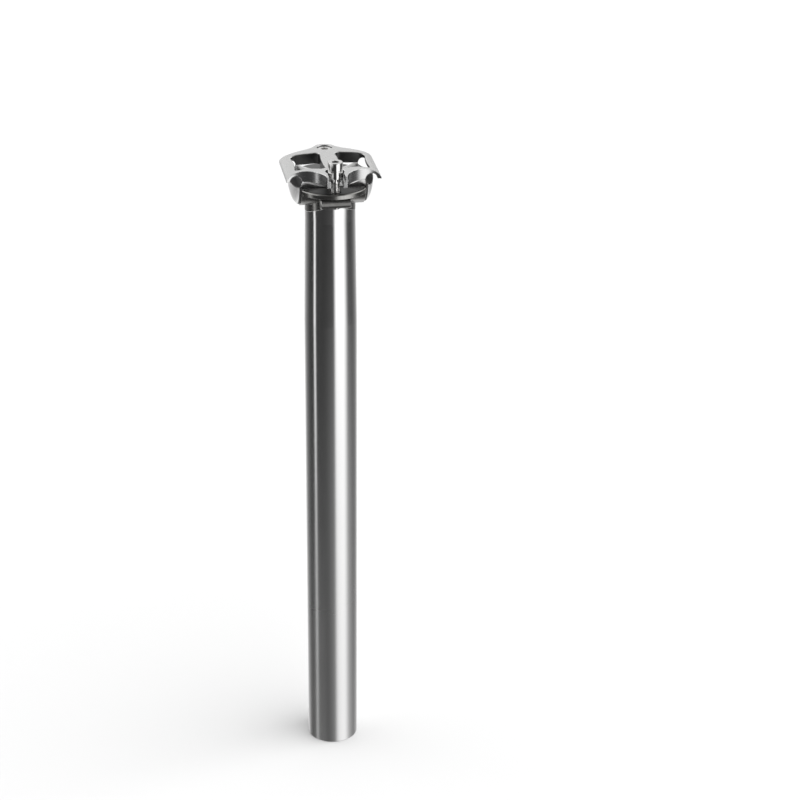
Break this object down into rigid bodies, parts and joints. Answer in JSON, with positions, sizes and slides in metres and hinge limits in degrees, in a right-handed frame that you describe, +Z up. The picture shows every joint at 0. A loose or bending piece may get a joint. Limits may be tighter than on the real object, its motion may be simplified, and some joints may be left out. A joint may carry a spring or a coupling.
{
  "type": "bicycle seatpost",
  "caption": "Straight round seatpost with a welded cross trough, a tilting cradle and a skeleton top plate that clamp saddle rails between bolts in front and behind.",
  "frame": {"origin": "centre of the tube's lower end, on the surface that the post stands on", "axes": "+Z up the post, +Y to the bicycle's front (the closed bolt lobe), -Y to the rear (the open bolt slot), +X to its right"},
  "size_m": [0.0554, 0.062, 0.3995],
  "materials": {
    "tube": "bare titanium, finely polished round the tube",
    "head": "bare titanium, satin",
    "cradle": "polished",
    "clamp": "satin with polished edges",
    "bolt": "bare stainless",
    "washer": "turned stainless",
    "nut": "turned stainless"
  },
  "bodies": {
    "post": {"post_tube": "tube", "post_head": "head"},
    "clamp": {"lower_cradle": "cradle", "upper_clamp": "clamp", "front_bolt": "bolt", "rear_bolt": "bolt", "rear_washer": "washer"},
    "front_nut": {"front_nut": "nut"},
    "rear_nut": {"rear_nut": "nut"}
  },
  "joints": [
    {"name": "clamp_tilt", "type": "hinge", "parent": "post", "child": "clamp", "pos_m": [0, 0, 0.386], "axis": [1, 0, 0], "range_deg": [-8, 8]},
    {"name": "front_nut_travel", "type": "slide", "parent": "clamp", "child": "front_nut", "axis": [0, 0, 1], "range_m": [-0.0034, 0.0034]},
    {"name": "rear_nut_travel", "type": "slide", "parent": "clamp", "child": "rear_nut", "axis": [0, 0, 1], "range_m": [-0.0034, 0.0034]}
  ],
  "couplings": [
    {"joint": "front_nut_travel", "follows": "clamp_tilt", "m_per_rad": -0.0235},
    {"joint": "rear_nut_travel", "follows": "clamp_tilt", "m_per_rad": 0.0235}
  ]
}
